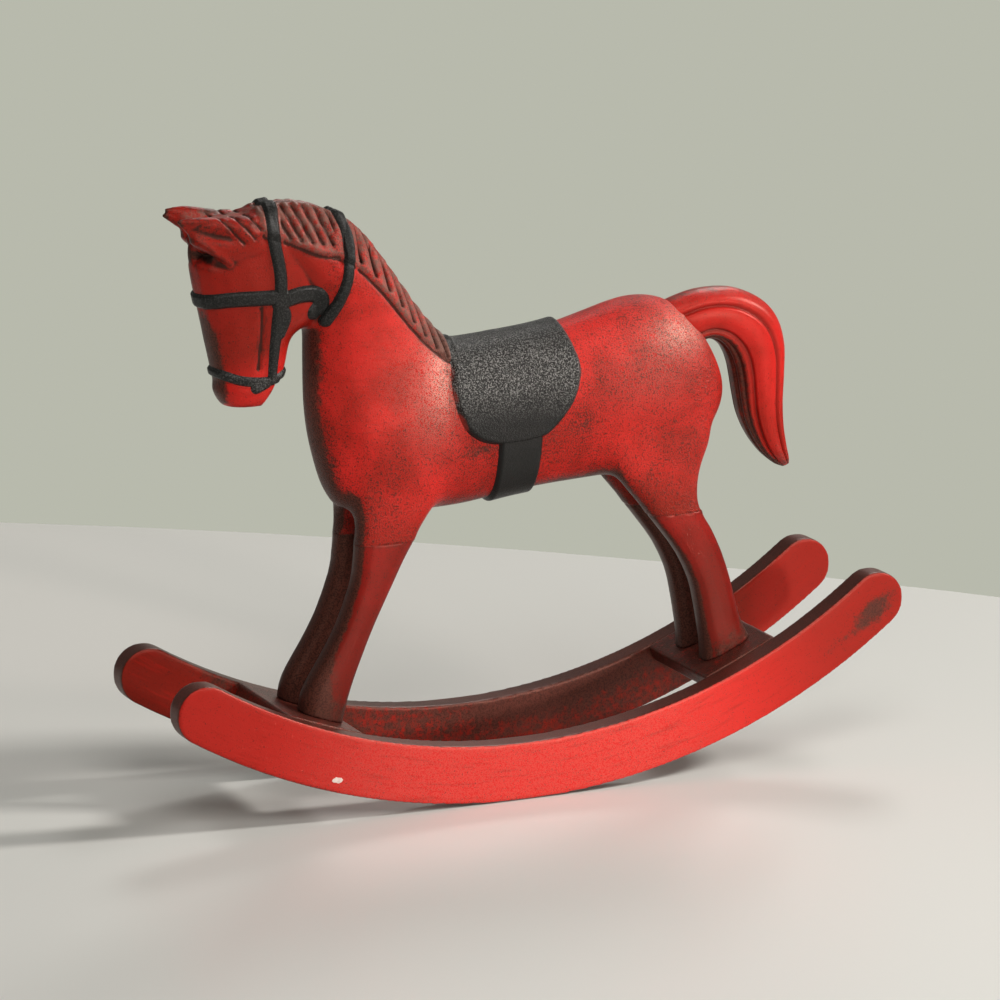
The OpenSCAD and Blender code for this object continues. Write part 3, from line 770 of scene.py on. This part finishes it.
# the third number is how much painted glint grey each black gets
saddle_black = black_paint("saddle_black_paint", 0.36, 0.75, 0.9)
strap_black = black_paint("strap_black_paint", 0.38, 0.25, 0.35)
saddle_in = np.where(z > 60, inside_outline(SADDLE_LINE), NOWHERE)
saddle_worn = step(-7.5, -11, x) * step(96, 84, z) + 0.6 * step(1.2, 0.2, saddle_in)
relief("saddle", saddle_in, 1.4, 0.9, saddle_black, saddle_worn)
girth_in = np.minimum(np.minimum(x + 0.6, 10.3 - x), 84.0 - z)
girth_in = np.where((z > 60) & (x > -3) & (x < 13), girth_in, NOWHERE)
relief("girth", girth_in, 1.1, 0.8, strap_black, 0.5 * step(0.8, 0.1, girth_in))

CHEEK = curve_through([(-53, 117.8), (-47.5, 118.9), (-43.6, 118.4), (-42.6, 116.2), (-44, 114.4)])
CHEEK_LOW = curve_through([(-53.4, 117.2), (-51.5, 114.4), (-52.6, 110.4)])
BROW = curve_through([(-74, 117.7), (-69.3, 118.2), (-63, 118.9), (-53, 118.8)])
NOSE = curve_through([(-70, 102.3), (-65.9, 101.6), (-60.7, 100.0), (-54, 99.6), (-48.5, 101.2)])
NOSE_END = [(-55.5, 99.3), (-58.2, 98.3)]
head_side = (x < -33) & (z > 90)
crown_half = np.interp(z, [99, 112, 120, 126, 142], [1.1, 1.5, 1.5, 1.5, 1.65])
crown_in = crown_half - line_distance(x, z, CROWN)
cheek_in = np.maximum(1.85 - line_distance(x, z, CHEEK), 1.4 - line_distance(x, z, CHEEK_LOW))
headpiece_in = np.where(head_side, np.maximum(crown_in, cheek_in), NOWHERE)
brow_in = np.where(head_side & (x < -50), 1.7 - line_distance(x, z, BROW), NOWHERE)
nose_in = np.maximum(1.05 - line_distance(x, z, NOSE), 1.25 - line_distance(x, z, NOSE_END))
nose_in = np.where(head_side & (z < 106), nose_in, NOWHERE)
throat_in = np.where(head_side & (x > -44.5), 1.3 - line_distance(x, z, THROAT), NOWHERE)
relief("headpiece", headpiece_in, 0.75, 0.7, strap_black)
relief("browband", brow_in, 0.7, 0.7, strap_black)
relief("noseband", nose_in, 0.65, 0.6, strap_black)
relief("throat_latch", throat_in, 0.85, 0.7, strap_black)

# the block is thinned only now, because the reliefs were lifted from its even skin
thin = block.modifiers.new("thin", "DECIMATE")
thin.ratio = min(1.0, BLOCK_TRIANGLES / (2 * len(mesh.polygons)))
applied(block)
finished(block, carved_red, "horse_body")

# ---- Legs -----------------------------------------------------------------------------
# Four legs sawn from board, rounded with a file and glued under the block with a dowel each.
# The lower halves are painted smoother than the block, with black rubbed on corners and feet.
# All their reds are dimmed as painted shade, most low down and on the far legs.
ROCKER_RADIUS = 155.0
SLAT_DEPTH = 141.16
SLAT_ANGLES = {"front": math.radians(-19.14), "rear": math.radians(24.2)}
LEG_VOXEL = 0.3
LEG_PAINTED_SHADE = 0.5
BEDDED = 0.35
# a black band runs down the front leg; rows give its middle line and its half width at heights
BAND_LINE = [(-36.8, 60), (-40.6, 46), (-46.6, 26)]
BAND_HEIGHTS, BAND_WIDTHS = [26, 34, 46, 60], [3.0, 2.2, 1.4, 0.9]


def above_slat(x, z, end):
    """Height over the top face of a slat."""
    a = SLAT_ANGLES[end]
    along = x - SLAT_DEPTH * math.sin(a)
    up = z - ROCKER_RADIUS + SLAT_DEPTH * math.cos(a)
    return up * math.cos(a) - along * math.sin(a)


def filed_copy(name, cad_node, voxel):
    """Copy of a CAD node as an even mesh, ready to be worn and rounded."""
    made = remeshed(node_copy(name, cad_node), voxel)
    return made, Skin(made.data)


leg_red = red_paint("leg_red_paint", (1.0, 1.0, 0.15), bump=0.3, painted_shade=LEG_PAINTED_SHADE)
for end in ("front", "rear"):
    for side_name, side in (("left", -1), ("right", 1)):
        leg, leg_skin = filed_copy(f"{end}_{side_name}_leg_filed", f"{end}_{side_name}_leg", LEG_VOXEL)
        x, y, z = leg_skin.points.T
        foot = above_slat(x, z, end)
        loose = step(0.3, 1.6, JOINT_Z - z) * step(0.3, 1.2, foot)
        leg_skin.smooth(loose * 0.5, 14)
        leg_skin.polish(loose, 4)
        around = leg_skin.normals()
        x, y, z = leg_skin.points.T
        # painted shade: the inner faces and the far legs get more black, on top of the black rubbed on
        # corners and feet
        inner_face_painted_shade = step(0.4, 0.95, -side * around[:, 1])
        rub_and_painted_shade = 0.75 * step(-0.35, -0.8, around[:, 0]) + 0.5 * inner_face_painted_shade + 0.45 * step(9, 1, foot)
        rub_and_painted_shade += 0.35 * step(0.3, 0.9, around[:, 0]) + (0.34 if side > 0 else 0.14)
        if end == "front":
            band = np.interp(z, BAND_HEIGHTS, BAND_WIDTHS)
            rub_and_painted_shade += 0.12 + 0.9 * np.exp(-((line_distance(x, z, BAND_LINE) / band) ** 2))
        # the top of the leg is bedded a little into the block, so that no seam shows
        leg_skin.points[:, 2] += BEDDED * step(JOINT_Z - 0.9, JOINT_Z - 0.1, leg_skin.points[:, 2])
        leg_hollow = leg_skin.blur(leg_skin.hollow(around), 3)
        write_points(leg.data, leg_skin.points)
        guide(leg.data, "rub_and_painted_shade", rub_and_painted_shade)
        # painted shade: a dark line where the foot stands on the slat
        guide(leg.data, "groove", step(0.4, 0.05, foot) * 0.6)
        guide(leg.data, "edge", step(0.004, 0.016, -leg_hollow))
        guide(leg.data, "speckle", 0.25 * step(JOINT_Z - 9, JOINT_Z, z) + 0.1)
        # painted shade: a dimmer red low on the leg and on the far legs
        guide(leg.data, "deep_tone_and_painted_shade", 0.3 + 0.5 * step(54, 36, z) + (0.3 if side > 0 else 0.0))
        finished(leg, leg_red, f"{end}_{side_name}_leg")

# ---- Tail -----------------------------------------------------------------------------
# The tail is one bent piece, gouged lengthwise into thick strands and doweled into the rump.
# A row gives x and z of its inner and outer edge and half its width.
TAIL_ROWS = [
    (47, 95.2, 41.5, 105.6, 3.9),
    (51, 96.8, 44.6, 107.6, 4.4),
    (54, 98.0, 47.5, 109, 4.9),
    (57, 98.6, 54.5, 110.6, 5.3),
    (59.6, 97.2, 62.8, 110.3, 5.6),
    (61.4, 94.6, 69.8, 107.3, 5.8),
    (62.5, 91.6, 74, 102.8, 5.9),
    (63.2, 88.2, 75.9, 96.8, 5.9),
    (63.9, 84.4, 76, 90, 5.7),
    (65.0, 79.8, 75.8, 83, 5.2),
    (67.2, 75.0, 76.2, 77, 4.4),
    (70.4, 70.6, 77.2, 72, 3.2),
    (74.2, 67.4, 78.2, 68.6, 1.6),
    (76.6, 66.3, 78.4, 67, 0.6),
]
TAIL_SIDES = 144
# angle round the tail from its outer edge, depth or height, and half width in degrees
STRAND_CUTS = [(68, 0.9, 4.0), (120, 0.8, 4.5), (143, 0.45, 4.0), (164, 0.6, 4.0)]
STRAND_SWELLS = [(50, 0.25, 12.0), (94, 0.45, 17.0), (131, 0.2, 7.0)]
SQUARENESS = 0.86
FULL_DEPTH_FROM = 3.5
LIFT = 0.64


def strand_sum(bumps, turn):
    return sum(d * math.exp(-(((turn - at) / wide) ** 2)) for at, d, wide in bumps)


tail_rows = curve_through(TAIL_ROWS, 14)
tail_points, tail_angle, tail_depth = [], [], []
for ix, iz, ox, oz, half in tail_rows:
    reach = math.hypot(ox - ix, oz - iz) / 2
    grow_in = min(1.0, min(reach, half) / FULL_DEPTH_FROM)
    for k in range(TAIL_SIDES):
        a = 2 * math.pi * k / TAIL_SIDES
        c, w = [math.copysign(abs(v) ** SQUARENESS, v) for v in (math.cos(a), math.sin(a))]
        turn = math.degrees(math.acos(max(-1, min(1, math.cos(a)))))
        depth = strand_sum(STRAND_CUTS, turn) * grow_in
        size = 1 - (depth - strand_sum(STRAND_SWELLS, turn) * grow_in) / max(reach, 0.8)
        tail_x = (ix + ox) / 2 + c * size * (ox - ix) / 2 + BALANCE
        tail_z = (iz + oz) / 2 + c * size * (oz - iz) / 2 + LIFT
        tail_points.append((tail_x, w * half * size, tail_z))
        tail_angle.append(turn)
        tail_depth.append(depth)
tail_faces = [f[::-1] for f in loft_faces(len(tail_rows), TAIL_SIDES)]
tail_red = red_paint("tail_red_paint", (0.5, 0.5, 0.5), bump=0.35)
tail = mesh_piece("tail_gouged", np.array(tail_points) * MM, tail_faces, tail_red)
tail_angle, tail_depth = np.array(tail_angle), np.array(tail_depth)
x, y, z = np.array(tail_points).T
# painted shade: the inner side of the tail gets more black and a dimmer red
inner_side_painted_shade = step(116, 140, tail_angle)
outer_top = step(50, 10, tail_angle) * step(106, 110, z)
guide(tail.data, "rub_and_painted_shade", 0.75 * inner_side_painted_shade + 0.55 * outer_top + 0.5 * step(72, 68, z))
# painted shade: black in the strand cuts
guide(tail.data, "groove", np.clip(tail_depth / 0.8, 0, 1) * 0.55)
guide(tail.data, "speckle", 0.3 * step(104, 110, z) + 0.1)
guide(tail.data, "deep_tone_and_painted_shade", 0.15 + 0.6 * inner_side_painted_shade + 0.3 * step(75, 68, z))
guide(tail.data, "worn", 0.35 * step(104, 110, z) * step(80, 20, tail_angle))
finished(tail, tail_red, "tail")

# ---- Rockers --------------------------------------------------------------------------
# Two curved runners sawn from 6 mm board. The flat faces keep a bright red with the grain
# along the curve; the sawn edges are rubbed brown and worn pale along the corners. Their inner
# faces, their ends and the far runner are darkened as painted shade, and the middle of the outer
# face has a faint painted highlight.
ROCKER_VOXEL = 0.42
ROCKER_RUB_AND_SHADE = (0.03, 0.012, 0.009)
ROCKER_TOP, ROCKER_BOTTOM = 142.4, 155
SPLIT = 40
GRAIN = (0.1, 1.0, 1.0)
rocker_red = red_paint("rocker_red_paint", GRAIN, flow=True, cloudy=False, bump=0.3, rubbed=ROCKER_RUB_AND_SHADE)


def smudge(at_along, at_across, long, wide):
    """Soft oval on a runner, placed by the length along it and the distance from the centre."""
    return np.exp(-(((along - at_along) / long) ** 2 + ((across - at_across) / wide) ** 2))


for side_name, side in (("left", -1), ("right", 1)):
    rocker, rocker_skin = filed_copy(f"{side_name}_rocker_sawn", f"{side_name}_rocker", ROCKER_VOXEL)
    rocker_skin.smooth(0.5, 3)
    rocker_skin.polish(1.0, 3)
    around = rocker_skin.normals()
    x, y, z = rocker_skin.points.T
    write_points(rocker.data, rocker_skin.points)
    along = ROCKER_RADIUS * np.arctan2(x, ROCKER_RADIUS - z)
    across = np.hypot(x, ROCKER_RADIUS - z)
    flow = rocker.data.attributes.new("flow", "FLOAT_VECTOR", "POINT")
    grain = np.stack([along, y + side * SPLIT, across], 1) * MM
    flow.data.foreach_set("vector", grain.astype(np.float32).ravel())
    rim = step(0.75, 0.35, np.abs(around[:, 1]))
    outer = side * around[:, 1] > 0.5
    upper = step(145, ROCKER_TOP, across)
    arris = np.exp(-(((np.abs(around[:, 1]) - 0.72) / 0.16) ** 2)) * upper
    # painted shade: black on the inner faces between the runners
    inside_painted_shade = ~outer * (np.abs(around[:, 1]) > 0.5) * step(-72, -60, x) * step(80, 64, x)
    stain = (0.95 * smudge(100, 149.5, 7.5, 3.2) + 0.45 * smudge(87, 150, 6, 1.2)) * outer
    stain += 0.5 * smudge(30, 144, 25, 3) * ~outer
    low_edge = step(2.2, 0.2, ROCKER_BOTTOM - across) * step(30, 0, along)
    guide(rocker.data, "rub_and_painted_shade", 0.85 * rim + 0.62 * inside_painted_shade + stain + 0.35 * low_edge)
    guide(rocker.data, "speckle", np.full(len(x), 0.22))
    # painted shade: a dimmer red at both ends and over most of the far runner
    far_side_painted_shade = 0.75 * step(82, 66, x) if side > 0 else 0.0
    guide(rocker.data, "deep_tone_and_painted_shade", 0.45 * step(-20, -80, along) + 0.75 * step(50, 92, along) + far_side_painted_shade)
    # a faint painted highlight in the middle of the outer face
    guide(rocker.data, "pale", 0.1 * outer * step(70, 30, np.abs(along)))
    guide(rocker.data, "worn", 0.9 * arris)
    finished(rocker, rocker_red, f"{side_name}_rocker")

# The paint is chipped off the left runner in one spot, down to the pale wood.
CHIP_PALE, CHIP_DARK = (0.90, 0.82, 0.76), (0.55, 0.42, 0.36)
chip_mix = Mixer("chipped_wood", CHIP_PALE, 0.6)
chip_mix.wire(chip_mix.over(CHIP_PALE, CHIP_DARK, chip_mix.noise(0.67, 3, 0.5)), "Base Color")
CHIP_AT = (-46.3, 10.1)
# half widths of the ragged chip, going round it
CHIP_RAYS = [1.5, 1.2, 0.85, 0.75, 0.95, 0.85, 1.1, 1.25, 0.95, 0.6, 0.55, 0.8, 0.95, 1.2]
CHIP_CROWN, CHIP_STANDS_OUT, CHIP_SINKS = 0.16, 0.1, 0.4
left_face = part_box("left_rocker")[0].y / MM
chip_points = [(CHIP_AT[0], left_face - CHIP_CROWN, CHIP_AT[1])]
for level in (left_face - CHIP_STANDS_OUT, left_face + CHIP_SINKS):
    for k, ray in enumerate(CHIP_RAYS):
        a = 2 * math.pi * k / len(CHIP_RAYS)
        chip_points.append((CHIP_AT[0] + ray * math.cos(a), level, CHIP_AT[1] + 0.9 * ray * math.sin(a)))
n = len(CHIP_RAYS)
chip_faces = [(0, 1 + k, 1 + (k + 1) % n) for k in range(n)]
chip_faces += [(1 + (k + 1) % n, 1 + k, 1 + n + k, 1 + n + (k + 1) % n) for k in range(n)]
chip_faces += [tuple(range(1 + n, 1 + 2 * n))[::-1]]
chip = mesh_piece("paint_chip", np.array(chip_points) * MM, chip_faces, chip_mix.material, smooth=False)
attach(chip, "root")

# ---- Slats ----------------------------------------------------------------------------
# Two short boards pinned between the runners; the feet stand on them. They are painted a dark
# red, dimmed further as painted shade, and their back edges are worn pale.
SLAT_VOXEL = 0.36
slat_red = red_paint("slat_dark_red_paint", (1.0, 0.1, 1.0), bump=0.5)
for end in ("front", "rear"):
    slat, slat_skin = filed_copy(f"{end}_slat_worn", f"{end}_slat", SLAT_VOXEL)
    slat_skin.smooth(0.5, 3)
    slat_skin.polish(1.0, 3)
    around = slat_skin.normals()
    x, y, z = slat_skin.points.T
    write_points(slat.data, slat_skin.points)
    height = above_slat(x, z, end)
    back_edge = step(0.35, 0.8, around[:, 0]) * step(-2.5, -0.2, height)
    top_edge = step(-0.8, -0.2, height) * step(0.9, 0.6, around[:, 2])
    guide(slat.data, "rub_and_painted_shade", np.full(len(x), 0.74))
    guide(slat.data, "speckle", np.full(len(x), 0.5))
    # painted shade: a dimmer red all over the slats
    guide(slat.data, "deep_tone_and_painted_shade", np.full(len(x), 0.6))
    guide(slat.data, "worn", 0.9 * back_edge + 0.3 * top_edge)
    finished(slat, slat_red, f"{end}_slat")

# ---- Dowels and pins ------------------------------------------------------------------
# Round beech sticks glued into blind holes; they stay unpainted inside the joints.
BEECH, BEECH_PALE, BEECH_DARK = (0.62, 0.46, 0.30), (0.70, 0.55, 0.38), (0.46, 0.31, 0.18)
beech = Mixer("bare_wood", BEECH, 0.6)
fibres = beech.noise(1.11, 4, 0.5, (1.0, 6.0, 1.0))
beech.wire(beech.over(BEECH_PALE, BEECH_DARK, fibres), "Base Color")
beech.relief(fibres, 0.4, 0.1)
for cad_node in ("front_leg_dowels", "rear_leg_dowels", "tail_dowel", "left_slat_pins", "right_slat_pins"):
    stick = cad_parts[cad_node]
    stick.data.materials.clear()
    stick.data.materials.append(beech.material)

# ---- Foot screws ----------------------------------------------------------------------
# A countersunk steel screw goes up through the slat into each foot; the cross slots show
# from below.
SLAT_BOARD = 4.0
FOOT_X = {"front": -44.0, "rear": 58.0}
LEG_Y = 6.3
HEAD_SIZE = 4.0
SHANK_SIZE = 2.0
SCREW_LENGTH = 11.0
STEEL = (0.46, 0.45, 0.43)
steel_mix = Mixer("screw_steel", STEEL, 0.34)
steel_mix.surface.inputs["Metallic"].default_value = 1.0
brushed = {0: steel_mix.noise(0.714, 3, 0.5), 1: 0.3, 2: 0.7, 3: 0.26, 4: 0.5}
steel_mix.wire(steel_mix.node("ShaderNodeMapRange", brushed).outputs[0], "Roughness")

tree = bpy.data.node_groups.new("foot_screws", "GeometryNodeTree")
tree.interface.new_socket("Geometry", in_out="OUTPUT", socket_type="NodeSocketGeometry")
SCREW_INPUTS = {
    "First screw": "NodeSocketVector",
    "Step to next": "NodeSocketVector",
    "Turn": "NodeSocketVector",
    "Head radius": "NodeSocketFloat",
    "Shank radius": "NodeSocketFloat",
    "Length": "NodeSocketFloat",
    "Metal": "NodeSocketMaterial",
}
screw_inputs = {}
for label, kind in SCREW_INPUTS.items():
    screw_inputs[label] = tree.interface.new_socket(label, in_out="INPUT", socket_type=kind).identifier
node = node_maker(tree)
given = node("NodeGroupInput").outputs


def share(length, part):
    return node("ShaderNodeMath", {0: length, 1: part}, operation="MULTIPLY").outputs[0]


def raised(geometry, z):
    place = node("ShaderNodeCombineXYZ", {"Z": z}).outputs[0]
    return node("GeometryNodeTransform", {"Geometry": geometry, "Translation": place}).outputs[0]


def joined(*parts):
    made = tree.nodes.new("GeometryNodeJoinGeometry")
    for part in reversed(parts):
        tree.links.new(part, made.inputs[0])
    return made.outputs[0]


# the head is a cone with a cross slot cut into its flat face
head_radius, shank_radius, length = given["Head radius"], given["Shank radius"], given["Length"]
head_depth = node("ShaderNodeMath", {0: head_radius, 1: shank_radius}, operation="SUBTRACT").outputs[0]
cone = {"Vertices": 40, "Radius Top": shank_radius, "Radius Bottom": head_radius, "Depth": head_depth}
cone = node("GeometryNodeMeshCone", cone).outputs["Mesh"]
slot_sides = {"X": share(head_radius, 1.25), "Y": share(head_radius, 0.24), "Z": share(head_radius, 0.7)}
slot_size = node("ShaderNodeCombineXYZ", slot_sides).outputs[0]
slot_cube = node("GeometryNodeMeshCube", {"Size": slot_size}).outputs["Mesh"]
crossed = node("GeometryNodeTransform", {"Geometry": slot_cube, "Rotation": (0, 0, math.pi / 2)}).outputs[0]
slotted = {"Mesh 1": cone, "Mesh 2": joined(slot_cube, crossed)}
head = node("GeometryNodeMeshBoolean", slotted, operation="DIFFERENCE").outputs[0]

# the shank is a core with a pointed tip and a thread wound round it
core = share(shank_radius, 0.72)
shank = {"Vertices": 32, "Radius": core, "Depth": share(length, 0.86)}
shank = node("GeometryNodeMeshCylinder", shank).outputs["Mesh"]
tip = {"Vertices": 32, "Radius Top": 0.15 * MM, "Radius Bottom": core, "Depth": share(length, 0.12)}
tip = node("GeometryNodeMeshCone", tip).outputs["Mesh"]
coil = {"Resolution": 20, "Rotations": 8.0, "Start Radius": core, "End Radius": core}
coil["Height"] = share(length, 0.7)
coil = node("GeometryNodeCurveSpiral", coil).outputs[0]
ring = {"Resolution": 5, "Radius": share(shank_radius, 0.24)}
ring = node("GeometryNodeCurvePrimitiveCircle", ring).outputs["Curve"]
thread = node("GeometryNodeCurveToMesh", {"Curve": coil, "Profile Curve": ring, "Fill Caps": True}).outputs[0]
one_screw = joined(
    head,
    raised(shank, share(length, 0.02)),
    raised(tip, share(length, 0.88)),
    raised(thread, share(length, 0.15)),
)
two = {"Count": 2, "Start Location": given["First screw"], "Offset": given["Step to next"]}
feet = node("GeometryNodeMeshLine", two).outputs[0]
pair = {"Points": feet, "Instance": one_screw, "Rotation": given["Turn"]}
pair = node("GeometryNodeInstanceOnPoints", pair).outputs[0]
real = node("GeometryNodeRealizeInstances", {"Geometry": pair}).outputs[0]
dressed = node("GeometryNodeSetMaterial", {"Geometry": real, "Material": given["Metal"]}).outputs[0]
node("NodeGroupOutput", {"Geometry": dressed})

for end in ("front", "rear"):
    a = SLAT_ANGLES[end]
    offset = (FOOT_X[end] - SLAT_DEPTH * math.sin(a)) / math.cos(a)
    low = SLAT_DEPTH + SLAT_BOARD
    start_x = offset * math.cos(a) + low * math.sin(a)
    start_z = ROCKER_RADIUS + offset * math.sin(a) - low * math.cos(a)
    screws = bpy.data.objects.new(f"{end}_screws_cut", bpy.data.meshes.new(f"{end}_screws_cut"))
    bpy.context.scene.collection.objects.link(screws)
    made = screws.modifiers.new("screws", "NODES")
    made.node_group = tree
    made[screw_inputs["First screw"]] = (start_x * MM, -LEG_Y * MM, start_z * MM)
    made[screw_inputs["Step to next"]] = (0.0, 2 * LEG_Y * MM, 0.0)
    made[screw_inputs["Turn"]] = (0.0, -a, 0.0)
    made[screw_inputs["Head radius"]] = HEAD_SIZE / 2 * MM
    made[screw_inputs["Shank radius"]] = SHANK_SIZE / 2 * MM
    made[screw_inputs["Length"]] = SCREW_LENGTH * MM
    made[screw_inputs["Metal"]] = steel_mix.material
    applied(screws)
    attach(screws, "root")
    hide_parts(f"{end}_foot_screws")
